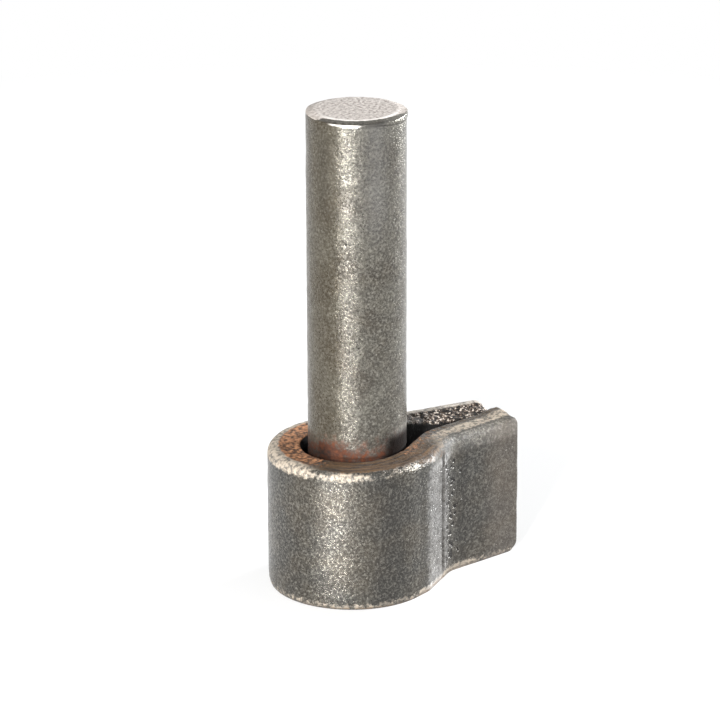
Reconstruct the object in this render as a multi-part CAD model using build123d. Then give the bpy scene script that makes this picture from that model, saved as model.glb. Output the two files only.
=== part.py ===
from build123d import *
import math
import os

# Hinge pin for a gate: a round bar that stands in a loop of flat bar.
# Frame: origin on the pin's axis at the foot, +Z up the pin, +X along the weld tab,
# -Y towards the side on which the tab lies flat. All lengths are millimetres.

# Round bar
pin_diameter = 16.0
pin_length = 80.0
tip_chamfer_width = 1.3
tip_chamfer_height = 0.45
foot_chamfer = 2.5

# Shallow groove that ends the bearing length, level with the top of the loop
groove_depth = 0.2
groove_width = 0.9
groove_rise = 0.05

# Flat bar, bent round the pin
strap_thickness = 5.4
strap_width = 23.7
top_edge_radius = 1.5
foot_edge_radius = 0.7
tab_corner_radius = 1.2
back_leg_corner_radius = 2.0
foot_corner_radius = 1.8
corner_runout = 0.05
end_edge_radius = 0.6

# Seat of the pin: the loop's centre lies a little behind the pin, away from the tab
loop_shift_x = 0.98
loop_shift_y = 0.15
front_gap = 0.03
convex_bend_radius = 0.5

# Front leg: it leaves the loop, runs up a ramp and ends in the flat tab
front_exit_angle = 10.7
ramp_angle = 26.8
ramp_gap = 0.17
ramp_length = 7.2
tab_bend_radius = 4.8
tab_length = 13.3

# Back leg: it leaves the loop, drops over a shoulder and leans on the end of the tab
back_exit_angle = 25.0
shoulder_angle = 42.0
shoulder_gap = 0.2
shoulder_reach = 7.45
shoulder_bend_radius = 3.0
seam_gap = 0.25
back_leg_overhang = 0.2
back_leg_roll = 8.8
back_leg_slope = 9.0

# Upright press mark on the ramp
mark_offset = 4.3
mark_depth = 0.25
mark_width = 0.7
mark_end_margin = 2.0

# Weld round the foot of the pin
bead_height = 2.3
bead_recess = 0.3
bead_spread = 0.5

pin_radius = pin_diameter / 2
loop_centre = Vector(-loop_shift_x, loop_shift_y)
half = strap_thickness / 2
FRONT = 1
BACK = -1


def heading(angle):
    """Unit vector in plan at an angle from +X."""
    return Vector(math.cos(math.radians(angle)), math.sin(math.radians(angle)))


def outward(side, angle):
    """Unit vector out of the loop, square to a leg that leaves it at an angle."""
    return heading(side * (angle - 90))


def pin_reach(side, angle):
    """How far the pin's surface lies from the loop's centre, square to such a leg."""
    return pin_radius - loop_centre.dot(outward(side, angle))


# The pin touches the front of the loop where the loop ends, which sets the bore
bore_radius = pin_reach(FRONT, front_exit_angle) + front_gap
loop_radius = bore_radius + half


def half_loop(side, exit_angle, flank_angle, flank_gap):
    """Centreline round one side of the loop, to the bend where a flank clears the pin."""
    turn = flank_angle - exit_angle
    flank_distance = pin_reach(side, flank_angle) + flank_gap - convex_bend_radius
    corner_distance = (bore_radius - convex_bend_radius) * math.cos(math.radians(turn))
    lead_in_length = (flank_distance - corner_distance) / math.sin(math.radians(turn))
    start = loop_centre - Vector(loop_radius, 0)
    loop = JernArc(start, Vector(0, -side), loop_radius, side * (90 + exit_angle))
    lead_in = PolarLine(loop @ 1, lead_in_length, side * exit_angle)
    bend = JernArc(lead_in @ 1, lead_in % 1, convex_bend_radius + half, side * turn)
    return [loop, lead_in, bend]


def front_leg():
    """Centreline from the loop's left side, round its front, up the ramp and along the tab."""
    path = half_loop(FRONT, front_exit_angle, ramp_angle, ramp_gap)
    ramp = PolarLine(path[-1] @ 1, ramp_length, ramp_angle)
    bend = JernArc(ramp @ 1, ramp % 1, tab_bend_radius + half, -ramp_angle)
    tab = PolarLine(bend @ 1, tab_length, 0)
    return path + [ramp, bend, tab]


def back_leg(tab_end):
    """Centreline from the loop's left side, round its back, over the shoulder to the tab's end."""
    path = half_loop(BACK, back_exit_angle, shoulder_angle, shoulder_gap)
    shoulder_start = path[-1] @ 1
    inner_start = shoulder_start - outward(BACK, shoulder_angle) * half
    inner_corner = inner_start + heading(-shoulder_angle) * shoulder_reach
    seam = tab_end + Vector(back_leg_overhang, half + seam_gap)
    lean = seam - inner_corner
    angle = math.degrees(math.atan2(lean.Y, lean.X))
    turn = shoulder_angle + angle
    bend_radius = shoulder_bend_radius + half
    setback = (half + bend_radius) * math.tan(math.radians(turn / 2))
    shoulder = PolarLine(shoulder_start, shoulder_reach - setback, -shoulder_angle)
    bend = JernArc(shoulder @ 1, shoulder % 1, bend_radius, turn)
    leg = PolarLine(bend @ 1, lean.length - setback, angle)
    return path + [shoulder, bend, leg]


def bar_section(start):
    """Cross-section of the flat bar at the loop's left side, with its outer edges rolled round."""
    middle = start + Vector(0, 0, strap_width / 2)
    across = Plane(middle, x_dir=(1, 0, 0), z_dir=(0, -1, 0))
    section = across * Rectangle(strap_thickness, strap_width)
    top_outer = section.vertices().group_by(Axis.Z)[-1].sort_by(Axis.X)[0]
    section = fillet(top_outer, top_edge_radius)
    foot_outer = section.vertices().group_by(Axis.Z)[0].sort_by(Axis.X)[0]
    return fillet(foot_outer, foot_edge_radius)


def end_corners(leg, top_radius):
    """What the rounded corners at a leg's end leave out of the bar.

    Each arc would be tangent to a line just outside the bar, so it crosses the bar's edge
    at a slight angle.
    """
    end = leg @ 1
    along = leg % 1
    reach = 2 * (top_radius + foot_corner_radius)
    height = strap_width + 2 * corner_runout
    face = Plane(end, x_dir=along, z_dir=along.cross(Vector(0, 0, 1)))
    square = face * Pos(-reach / 2, strap_width / 2) * Rectangle(reach, height)
    rounded = square
    for level, radius in ((-1, top_radius), (0, foot_corner_radius)):
        outermost = rounded.vertices().group_by(Axis.Z)[level].sort_by(Axis(end, along))[-1]
        rounded = fillet(outermost, radius)
    return extrude(square - rounded, strap_thickness, both=True)


def outer_end_edge(strap, side, leg):
    """Upright edge between a leg's end and its outer face."""
    out = (leg % 1).cross(Vector(0, 0, side))
    corner = leg @ 1 + out * half + Vector(0, 0, strap_width / 2)
    return strap.edges().filter_by(Axis.Z).sort_by_distance(corner)[0]


def rolled_top(leg):
    """What the leaning top of the back leg leaves out: its far edge stays at full height."""
    leg_start = leg @ 0
    along = leg % 0
    across = Vector(0, 0, 1).cross(along)
    far_edge = leg_start + across * half + Vector(0, 0, strap_width)
    roll = Plane(far_edge, x_dir=along, z_dir=(0, 0, 1)).rotated((back_leg_roll, 0, 0))
    slope = Plane(far_edge, x_dir=along, z_dir=(0, 0, 1)).rotated((0, back_leg_slope, 0))
    block = Plane(far_edge, x_dir=along, z_dir=(0, 0, 1)) * Box(
        leg.length + 2 * strap_thickness,
        strap_thickness + seam_gap / 2,
        2 * strap_thickness,
        align=(Align.MIN, Align.MAX, Align.CENTER),
    )
    return split(split(block, roll, Keep.TOP), slope, Keep.TOP)


def press_mark(ramp):
    """Shallow upright groove that the bending tool left on the ramp's outer face."""
    out = outward(FRONT, ramp_angle)
    middle = ramp @ 0 + heading(ramp_angle) * mark_offset + out * half
    mouth = heading(ramp_angle) * mark_width / 2
    groove = make_face(
        Polyline(
            middle - out * mark_depth,
            middle + mouth,
            middle + mouth + out,
            middle - mouth + out,
            middle - mouth,
            close=True,
        )
    )
    length = strap_width - 2 * mark_end_margin
    return Pos(0, 0, mark_end_margin) * extrude(groove, length, dir=(0, 0, 1))


def make_hinge_pin():
    """Round bar with a chamfered tip, a bevelled foot and a fine groove at the loop's top."""
    tip_radius = pin_radius - tip_chamfer_width
    foot_radius = pin_radius - foot_chamfer
    groove_radius = pin_radius - groove_depth
    groove_top = strap_width + groove_rise
    profile = Polyline(
        (0, 0, 0),
        (foot_radius, 0, 0),
        (pin_radius, 0, foot_chamfer),
        (pin_radius, 0, groove_top - groove_width),
        (groove_radius, 0, groove_top - groove_width + groove_depth),
        (groove_radius, 0, groove_top),
        (pin_radius, 0, groove_top),
        (pin_radius, 0, pin_length - tip_chamfer_height),
        (tip_radius, 0, pin_length),
        (0, 0, pin_length),
        close=True,
    )
    return revolve(make_face(profile), Axis.Z)


def strap_half(side, path, corner_radius):
    """Flat bar along one half of the strap, with the corners and outer edge of its end rounded."""
    bar = sweep(bar_section(path[0] @ 0), Wire(path)) - end_corners(path[-1], corner_radius)
    rounding = min(end_edge_radius, foot_edge_radius / 1.1)
    return fillet(outer_end_edge(bar, side, path[-1]), rounding)


def make_wrapped_strap():
    """Flat bar bent into a loop, with its two legs closed to a wedge that ends at the tab."""
    front = front_leg()
    tab_end = front[-1] @ 1
    back = back_leg(tab_end)
    front_half = strap_half(FRONT, front, tab_corner_radius)
    back_half = strap_half(BACK, back, back_leg_corner_radius)
    ramp = front[-3]
    return front_half + back_half - rolled_top(back[-1]) - press_mark(ramp)


def make_weld_bead(pin, strap):
    """Weld that fills the bevel between the pin's foot and the loop."""
    bead_radius = bore_radius + loop_centre.length + bead_spread
    disc = Pos(0, 0, bead_recess) * Cylinder(
        bead_radius, bead_height - bead_recess, align=(Align.CENTER, Align.CENTER, Align.MIN)
    )
    return disc - pin - strap


def save(node, solid):
    """Write one sub-part as parts/NODE.step."""
    solid.label = node
    export_step(solid, os.path.join("parts", node + ".step"))


os.makedirs("parts", exist_ok=True)
hinge_pin = make_hinge_pin()
wrapped_strap = make_wrapped_strap()
weld_bead = make_weld_bead(hinge_pin, wrapped_strap)
save("hinge_pin", hinge_pin)
save("wrapped_strap", wrapped_strap)
save("weld_bead", weld_bead)
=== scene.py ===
import math
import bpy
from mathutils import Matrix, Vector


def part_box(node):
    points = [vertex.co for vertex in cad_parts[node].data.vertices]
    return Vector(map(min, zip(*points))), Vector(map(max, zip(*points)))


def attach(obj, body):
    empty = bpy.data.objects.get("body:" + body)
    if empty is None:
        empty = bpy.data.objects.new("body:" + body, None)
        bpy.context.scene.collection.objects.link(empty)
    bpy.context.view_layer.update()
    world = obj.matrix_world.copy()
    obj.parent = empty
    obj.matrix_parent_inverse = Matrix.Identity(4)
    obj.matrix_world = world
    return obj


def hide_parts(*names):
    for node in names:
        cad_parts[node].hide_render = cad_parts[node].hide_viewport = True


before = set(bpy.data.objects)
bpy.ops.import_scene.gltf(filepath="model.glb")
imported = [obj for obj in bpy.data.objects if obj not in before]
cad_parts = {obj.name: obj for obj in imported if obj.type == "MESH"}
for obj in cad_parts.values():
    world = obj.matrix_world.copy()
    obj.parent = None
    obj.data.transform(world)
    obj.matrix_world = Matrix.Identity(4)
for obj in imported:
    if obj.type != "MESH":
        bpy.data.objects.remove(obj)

from types import SimpleNamespace

import bmesh
import bpy
import numpy as np
from bpy.props import FloatProperty, FloatVectorProperty, PointerProperty
from mathutils import Matrix, Vector

bl_info = {
    "name": "Gate hinge pin",
    "version": (1, 0, 0),
    "blender": (4, 5, 0),
    "location": "3D View > Sidebar > Hinge Pin",
    "description": "Models the surfaces of a weld-on gate hinge pin round its fixed frame",
    "category": "Add Mesh",
}

MM = 0.001
UP = Vector((0, 0, 1))
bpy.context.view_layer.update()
PIN_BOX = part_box("hinge_pin")
STRAP_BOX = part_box("wrapped_strap")
PIN_RADIUS = (PIN_BOX[1].x - PIN_BOX[0].x) / 2

# Vertices that lie closer together than this are one
SAME_PLACE = 0.001 * MM

# Where the photo's side lies round the pin, in degrees from +X
FRONT_BEARING = -130.3

# Relief and roundings that rolling, shearing, sawing and wear left on the flat bar, in millimetres
PRESS_LIP = 0.14
BURR_HEIGHT = 0.4
CORNER_WEAR = 0.4
CRISP_ROUND = 0.6
TEAR_DEPTH = 0.6
SAW_DEPTH = 0.2
FOOT_WEAR = 0.55
STRAP_DENTS = 0.12
STRAP_GRAIN = 0.07

# Relief at the round bar's tip and on its skin, in millimetres
FACET_DEPTH = 0.16
LIP_HEIGHT = 0.16
UNEVEN_EDGE = 0.14
BACK_SINK = 0.2
PIN_DENTS = 0.10
PIN_GRAIN = 0.06

# Fine relief that only the shading shows, in millimetres
STRAP_RELIEF = 0.042
PIN_RELIEF = 0.036
WELD_RELIEF = 0.02

# Patterns in the steel: the size of each in millimetres, its detail and how crumbled it is
SKIN_PATTERNS = {
    "grain": (0.42, 4, 0.75),
    "blotch": (1.6, 3, 0.6),
    "patch": (7, 2, 0.5),
    "cluster": (4.5, 2, 0.5),
}
STRAP_PATTERNS = {"fibre": (0.7, 4, 0.7), "fracture": (0.55, 3, 0.7)}
PIN_PATTERNS = {"fibre": (1.2, 4, 0.7), "sawn": (0.5, 3, 0.6)}
WELD_PATTERNS = {"burnt": (2.5, 3, 0.5)}
PIT_SPACING = 1.1

# Fibres of the brown scale in one turn of the loop, and across the bar's thickness
FIBRES_ROUND = 14.0
FIBRES_ACROSS = 9.0

# Rings of faces across the press mark, and in each rounded end
MARK_STEPS = 8
END_RINGS = 9

# The tip of the round bar has finer faces than the rest: how far down, and by what share
TIP_ZONE = 2.5 * MM
TIP_PITCH = 0.35

# Rings of the weld's crown, and faces round the pin
WELD_RINGS = 16
WELD_FACES = 220

# Soft lamps: bearing right of the camera in degrees, then distance, width, height and the height
# of the foot in metres, power in watts, and tint
LAMPS = {
    "key": (-16.5, 1.0, 0.12, 0.6, 0.0, 27, (1, 1, 1)),
    "rim": (124, 0.9, 0.38, 0.3, 0.0, 25, (0.96, 0.98, 1.0)),
    "fill": (60, 0.6, 0.3, 0.25, 0.2, 0.25, (1, 1, 1)),
}

# Glowing card on the floor: bearing in degrees, distance, width and length in metres, and power
FLOOR_CARD = (-22.5, 0.056, 0.016, 0.055, 0.012)
CARD_LEVEL = 1 * MM


def length(name, description, millimetres):
    """A length that a user may change, given in millimetres."""
    return FloatProperty(
        name=name, description=description, default=millimetres * MM, unit="LENGTH", precision=5
    )


def angle(name, description, degrees):
    """An angle that a user may change, given in degrees."""
    return FloatProperty(
        name=name, description=description, default=math.radians(degrees), subtype="ANGLE"
    )


def linear(code):
    """An sRGB hex colour as linear red, green, blue and alpha."""
    parts = [int(code[i : i + 2], 16) / 255 for i in (1, 3, 5)]
    return [c / 12.92 if c <= 0.04045 else ((c + 0.055) / 1.055) ** 2.4 for c in parts] + [1.0]


def colour(name, description, code):
    """A colour that a user may change, given as sRGB hex."""
    return FloatVectorProperty(
        name=name, description=description, default=linear(code), size=4, min=0, max=1,
        subtype="COLOR",
    )


class BarSizes(bpy.types.PropertyGroup):
    """Round bar of the pin"""

    diameter: length("Diameter", "Across the bar", 2 * PIN_RADIUS / MM)
    height: length("Length", "From the foot to the tip", PIN_BOX[1].z / MM)
    tip_width: length("Tip chamfer width", "How far the tip's chamfer reaches in", 1.3)
    tip_height: length("Tip chamfer height", "How far the tip's chamfer reaches down", 0.45)
    foot_chamfer: length("Foot bevel", "Bevel that the weld fills", 2.5)
    groove_depth: length("Groove depth", "Groove level with the top of the loop", 0.2)
    groove_width: length("Groove width", "Groove level with the top of the loop", 0.9)
    groove_rise: length("Groove rise", "How far the groove ends above the loop", 0.05)
    pitch: length("Mesh pitch", "Size of the mesh's faces", 0.36)


class StrapSizes(bpy.types.PropertyGroup):
    """Flat bar bent round the pin"""

    width: length("Width", "Height of the bent bar", STRAP_BOX[1].z / MM)
    thickness: length("Thickness", "Thickness of the flat bar", 5.4)
    top_round: length("Top rounding", "Outer top edge of the bar", 1.5)
    foot_round: length("Foot rounding", "Outer bottom edge of the bar", 0.7)
    inner_round: length("Inner rounding", "Inner edges of the bar", 0.35)
    shift_x: length("Loop shift X", "Loop's centre behind the pin's axis", 0.98)
    shift_y: length("Loop shift Y", "Loop's centre beside the pin's axis", 0.15)
    front_gap: length("Front gap", "Between the pin and the front of the loop", 0.03)
    convex_radius: length("Convex bend", "Inner radius where a leg leaves the loop", 0.5)
    front_exit: angle("Front exit", "Direction of the front lead-in", 10.7)
    ramp_angle: angle("Ramp angle", "Direction of the ramp", 26.8)
    ramp_gap: length("Ramp gap", "Between the ramp and the pin", 0.17)
    ramp_length: length("Ramp length", "Straight part of the ramp", 7.2)
    tab_bend: length("Tab bend", "Inner radius between ramp and tab", 4.8)
    tab_length: length("Tab length", "Straight part of the tab", 13.4)
    back_exit: angle("Back exit", "Direction of the back lead-in", 25.0)
    shoulder_angle: angle("Shoulder angle", "Direction of the shoulder", 42.0)
    shoulder_gap: length("Shoulder gap", "Between the shoulder and the pin", 0.2)
    shoulder_reach: length("Shoulder reach", "Shoulder's inner face up to its bend", 7.45)
    shoulder_bend: length("Shoulder bend", "Inner radius below the shoulder", 3.0)
    seam_gap: length("Seam gap", "Between the two legs at the tab's end", 0.25)
    overhang: length("Overhang", "Back leg past the tab's end", 0.1)
    roll: angle("Roll", "Lean of the back leg's top face", 8.8)
    slope: angle("Slope", "How fast the lean of the top sets in", 9.0)
    tab_corner: length("Tab corner", "Upper corner of the tab", 0.7)
    leg_corner: length("Leg corner", "Upper corner of the back leg", 2.0)
    foot_corner: length("Foot corner", "Lower corners of both legs", 1.8)
    end_round: length("End rounding", "Upright edges of the ends", 0.5)
    mark_offset: length("Mark offset", "Press mark from the start of the ramp", 4.3)
    mark_depth: length("Mark depth", "Depth of the press mark", 0.32)
    mark_width: length("Mark width", "Width of the press mark", 0.8)
    mark_margin: length("Mark margin", "Press mark from the bar's edges", 1.3)
    pitch: length("Mesh pitch", "Size of the mesh's faces", 0.36)


class WeldSizes(bpy.types.PropertyGroup):
    """Weld round the pin's foot"""

    inner: length("Inner radius", "Weld's edge on the pin's bevel", 6.1)
    outer: length("Outer radius", "Weld's edge in the loop", 8.9)
    low: length("Lowest level", "Crown of the weld above the floor", 0.32)
    edge: length("Edge level", "Edges of the weld above the floor", 0.8)
    top: length("Top level", "Where the weld ends inside the loop", 2.3)
    sink: length("Sink", "How far the weld reaches into the bevel", 0.15)
    shift_x: length("Shift X", "Outer edge behind the pin's axis", -0.55)
    shift_y: length("Shift Y", "Outer edge beside the pin's axis", 0.08)
    ripple_depth: length("Ripple depth", "Depth of the ripples", 0.16)
    ripples: bpy.props.IntProperty(name="Ripples", description="Ripples in one turn", default=34)


class FinishColours(bpy.types.PropertyGroup):
    """Colours of the raw steel"""

    scale_dark: colour("Dark scale", "Darkest patches of the mill scale", "#3d3b38")
    scale_mid: colour("Grey scale", "Most of the mill scale", "#444340")
    scale_warm: colour("Warm scale", "Brownish patches of the mill scale", "#4f4a42")
    bare: colour("Bare steel", "Steel that wear has laid bare", "#b3afa5")
    cut_face: colour("Sawn face", "Sawn end of the bar", "#cec7c1")
    pin_scale: colour("Pin scale", "Most of the scale on the round bar", "#646159")
    rust_deep: colour("Deep rust", "Dark rust in hollows", "#412a1a")
    rust_light: colour("Light rust", "Orange bloom of rust", "#b7835c")


class StageSettings(bpy.types.PropertyGroup):
    """Camera, as the photograph was taken"""

    azimuth: angle("Azimuth", "Camera's bearing round the object", -40.343)
    elevation: angle("Elevation", "Camera's height above the level", 19.945)
    tilt: angle("Tilt", "Turn of the picture", -0.18)
    distance: length("Distance", "From the camera to what it aims at", 722.03)
    aim_right: length("Aim right", "What it aims at, right of the pin's axis", 0.492)
    aim_height: length("Aim height", "What it aims at, above the floor", 37.749)
    lens: FloatProperty(name="Lens", description="Focal length in millimetres", default=224.58)


def deselect_all():
    """Leave edit mode and take everything out of the selection."""
    if bpy.context.object and bpy.context.object.mode != "OBJECT":
        bpy.ops.object.mode_set(mode="OBJECT")
    bpy.ops.object.select_all(action="DESELECT")


def named(name):
    """Name the primitive that was just added, put its place in its mesh and open it for editing."""
    piece = bpy.context.object
    piece.name = name
    piece.data.name = name
    bpy.ops.object.transform_apply(location=True, rotation=True, scale=True)
    bpy.ops.object.mode_set(mode="EDIT")
    return piece


def pick(piece, test, kind="verts"):
    """Select the vertices or edges that pass a test, in edit mode."""
    bpy.ops.mesh.select_mode(type={"verts": "VERT", "edges": "EDGE"}[kind])
    bpy.ops.mesh.select_all(action="DESELECT")
    mesh = bmesh.from_edit_mesh(piece.data)
    for element in getattr(mesh, kind):
        element.select = test(element)
    mesh.select_flush_mode()
    bmesh.update_edit_mesh(piece.data)


def select_all():
    """Select the whole piece, in edit mode."""
    bpy.ops.mesh.select_all(action="SELECT")


def extrude(stride):
    """Draw what is selected out by a stride, in edit mode."""
    bpy.ops.mesh.extrude_region_move(TRANSFORM_OT_translate={"value": stride})


def outward(turn):
    """Level direction that faces the front at 0 and turns left from there."""
    return Vector((math.sin(turn), -math.cos(turn), 0))


def turn_out():
    """Turn the normals outwards, leave edit mode and shade the piece smooth."""
    select_all()
    bpy.ops.mesh.normals_make_consistent(inside=False)
    bpy.ops.object.mode_set(mode="OBJECT")
    bpy.ops.object.shade_smooth()


def points(piece):
    """The piece's vertices as rows of x, y and z in metres."""
    places = np.zeros(len(piece.data.vertices) * 3)
    piece.data.vertices.foreach_get("co", places)
    return places.reshape(-1, 3)


def values(piece, name):
    """A number that the vertices carry."""
    numbers = np.zeros(len(piece.data.vertices))
    piece.data.attributes[name].data.foreach_get("value", numbers)
    return numbers


def smooth(value, low, high):
    """0 at low, 1 at high and a smooth change between them."""
    t = np.clip((value - low) / (high - low), 0, 1)
    return t * t * (3 - 2 * t)


def span(value, start, full, fade, end):
    """0 up to the start, 1 from full to fade, and 0 again from the end on."""
    return smooth(value, start, full) * smooth(value, end, fade)


def bell(value, middle, width):
    """1 at the middle, fading to both sides over about the width."""
    return np.exp(-(((value - middle) / width) ** 2))


def edge_drop(radius, depth):
    """How far a rounded edge lies below a flat face, at a depth in from its side."""
    missing = np.clip(radius - depth, 0, None)
    return radius - np.sqrt(np.clip(radius**2 - missing**2, 0, None))


def outside(piece):
    """1 on the faces that look sideways out of the strap, judged by their normals."""
    normals = np.zeros(len(piece.data.vertices) * 3)
    piece.data.vertices.foreach_get("normal", normals)
    across = values(piece, "across")
    return smooth(np.abs(normals.reshape(-1, 3)[:, 2]), 1.0, 0.6) * (across > 0.7)


def paint(piece, masks):
    """Store masks between 0 and 1 on the vertices, by name, for the materials to read."""
    for name, weights in masks.items():
        mask = piece.data.attributes.new(name, "FLOAT", "POINT")
        mask.data.foreach_set("value", np.clip(weights, 0, 1).astype(np.float32))


def shape(piece, name, weights, distance, direction="NORMAL", texture=None, midlevel=0.0):
    """Push the vertices by millimetres, in proportion to their weights, and apply it."""
    group = piece.vertex_groups.new(name=name)
    for i in np.flatnonzero(weights > 1e-4):
        group.add([int(i)], float(weights[i]), "REPLACE")
    push = piece.modifiers.new(name, "DISPLACE")
    push.vertex_group = name
    push.direction = direction
    push.strength = distance * MM
    push.mid_level = midlevel
    if texture:
        push.texture = texture
        push.texture_coords = "LOCAL"
    bpy.ops.object.modifier_apply(modifier=name)
    piece.vertex_groups.remove(piece.vertex_groups[name])


def lumps(name, size, depth=2, contrast=1.0):
    """Noise with lumps of a size in millimetres, for shaping."""
    noise = bpy.data.textures.new(name, "CLOUDS")
    noise.noise_scale = size * MM
    noise.noise_depth = depth
    noise.contrast = contrast
    return noise


class Walk:
    """The bar's cross-section on its way along the strap, ring by ring, in edit mode."""

    def __init__(self, start, heading, sizes):
        self.middle = start.copy()
        self.heading = heading
        self.half = sizes.thickness / 2
        self.width = sizes.width
        self.pitch = sizes.pitch

    def run(self, distance, steps=0):
        """Straight on, in steps of about one pitch."""
        steps = steps or max(1, round(distance / self.pitch))
        stride = self.heading * distance / steps
        for _ in range(steps):
            extrude(stride)
        self.middle += self.heading * distance

    def bend(self, radius, turn):
        """Round an arc of the centreline; a positive turn goes left."""
        left = UP.cross(self.heading) * math.copysign(radius, turn)
        centre = self.middle + left
        steps = max(2, round(abs(turn) * (radius + self.half) / self.pitch))
        bpy.ops.mesh.spin(steps=steps, angle=-turn, center=centre, axis=UP)
        turned = Matrix.Rotation(turn, 3, "Z")
        self.middle = centre - turned @ left
        self.heading = turned @ self.heading

    def close(self, side, top, foot, outer, inner):
        """Draw the end in ring by ring, so that its edges are round, and close it."""
        out = self.heading.cross(UP) * side
        axes = Matrix((self.heading, out, UP)).transposed()
        reach = max(top, foot, outer, inner)

        def extents(distance):
            return (
                -self.half + edge_drop(inner, distance),
                self.half - edge_drop(outer, distance),
                edge_drop(foot, distance),
                self.width - edge_drop(top, distance),
            )

        old, last = extents(reach), reach
        for ring in range(1, END_RINGS + 1):
            distance = reach * (1 - math.sin(math.pi / 2 * ring / END_RINGS))
            new = extents(distance)
            sideways = (new[0] + new[1] - old[0] - old[1]) / 2
            upwards = (new[2] + new[3] - old[2] - old[3]) / 2
            extrude(self.heading * (last - distance) + out * sideways + UP * upwards)
            self.middle += self.heading * (last - distance)
            centre = self.middle + out * (new[0] + new[1]) / 2 + UP * (new[2] + new[3]) / 2
            deep = (new[1] - new[0]) / (old[1] - old[0])
            high = (new[3] - new[2]) / (old[3] - old[2])
            bpy.ops.transform.resize(
                value=(1, deep, high),
                orient_type="GLOBAL",
                orient_matrix=axes,
                orient_matrix_type="GLOBAL",
                center_override=centre,
            )
            old, last = new, distance
        bpy.ops.mesh.fill_grid()


def strap_section(sizes, start):
    """The flat bar's cross-section at the left of the loop, as a closed line of edges."""
    bpy.ops.mesh.primitive_plane_add(
        size=1, location=start + UP * sizes.width / 2, rotation=(math.pi / 2, 0, 0)
    )
    bpy.ops.transform.resize(value=(sizes.thickness, 1, sizes.width))
    piece = named("steel_strap")
    corners = (
        (-1, 1, sizes.top_round, 6),
        (-1, -1, sizes.foot_round, 4),
        (1, 1, sizes.inner_round, 3),
        (1, -1, sizes.inner_round, 3),
    )
    for across, up, radius, segments in corners:
        corner = start + Vector((across * sizes.thickness / 2, 0, sizes.width * (1 + up) / 2))
        pick(piece, lambda v: (v.co - corner).length < 10 * SAME_PLACE)
        bpy.ops.mesh.bevel(offset=radius, segments=segments, affect="VERTICES")
    select_all()
    bpy.ops.mesh.delete(type="ONLY_FACE")
    for long_side, spread in ((True, sizes.width), (False, sizes.thickness)):
        faces = round(spread * 0.9 / sizes.pitch)
        pick(
            piece,
            lambda e: e.calc_length() > sizes.thickness / 2
            and (abs(e.verts[0].co.z - e.verts[1].co.z) > sizes.width / 2) == long_side,
            "edges",
        )
        bpy.ops.mesh.subdivide(number_cuts=faces - 1)
    bpy.ops.object.mode_set(mode="OBJECT")
    paint(piece, {"across": 0.5 - (points(piece)[:, 0] - start.x) / sizes.thickness})
    bpy.ops.object.mode_set(mode="EDIT")
    bpy.ops.mesh.select_mode(type="VERT")
    return piece


def half_loop(walk, sizes, side, exit_angle, flank_angle, flank_gap, bore):
    """Round one side of the loop and on to the bend where a flank clears the pin."""
    out = Vector((math.sin(flank_angle), -side * math.cos(flank_angle), 0))
    centre = Vector((-sizes.shift_x, sizes.shift_y, 0))
    turn = flank_angle - exit_angle
    flank = PIN_RADIUS - centre.dot(out) + flank_gap - sizes.convex_radius
    corner = (bore - sizes.convex_radius) * math.cos(turn)
    walk.bend(bore + walk.half, side * (math.pi / 2 + exit_angle))
    walk.run((flank - corner) / math.sin(turn))
    walk.bend(sizes.convex_radius + walk.half, side * turn)


def bend_front_leg(sizes, start, bore):
    """Bend the front of the loop, the ramp and the tab; return the ramp's start, the tab's end."""
    select_all()
    walk = Walk(start, Vector((0, -1, 0)), sizes)
    half_loop(walk, sizes, 1, sizes.front_exit, sizes.ramp_angle, sizes.ramp_gap, bore)
    ramp_start = walk.middle.copy()
    walk.run(sizes.mark_offset - sizes.mark_width / 2)
    walk.run(sizes.mark_width, MARK_STEPS)
    walk.run(sizes.ramp_length - sizes.mark_offset - sizes.mark_width / 2)
    walk.bend(sizes.tab_bend + walk.half, -sizes.ramp_angle)
    tab_end = walk.middle + walk.heading * sizes.tab_length
    walk.run(sizes.tab_length - max(sizes.tab_corner, sizes.foot_corner))
    walk.close(1, sizes.tab_corner, sizes.foot_corner, sizes.end_round, sizes.inner_round)
    return ramp_start, tab_end


def bend_back_leg(piece, sizes, start, bore, tab_end):
    """Bend the back of the loop and the leg that leans on the tab; return how that leg lies."""
    half = sizes.thickness / 2
    pick(piece, lambda v: abs(v.co.y - start.y) < SAME_PLACE and v.co.x < start.x + half * 1.01)
    walk = Walk(start, Vector((0, 1, 0)), sizes)
    half_loop(walk, sizes, -1, sizes.back_exit, sizes.shoulder_angle, sizes.shoulder_gap, bore)
    inward = Vector((-math.sin(sizes.shoulder_angle), -math.cos(sizes.shoulder_angle), 0))
    corner = walk.middle + inward * half + walk.heading * sizes.shoulder_reach
    seam = tab_end + Vector((sizes.overhang, half + sizes.seam_gap, 0))
    lean = seam - corner
    turn = sizes.shoulder_angle + math.atan2(lean.y, lean.x)
    radius = sizes.shoulder_bend + half
    setback = (half + radius) * math.tan(turn / 2)
    walk.run(sizes.shoulder_reach - setback)
    walk.bend(radius, turn)
    leg_start, leg_heading = walk.middle.copy(), walk.heading.copy()
    walk.run(lean.length - setback - max(sizes.leg_corner, sizes.foot_corner))
    walk.close(-1, sizes.leg_corner, sizes.foot_corner, sizes.end_round, sizes.inner_round)
    return leg_start, leg_heading


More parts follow.
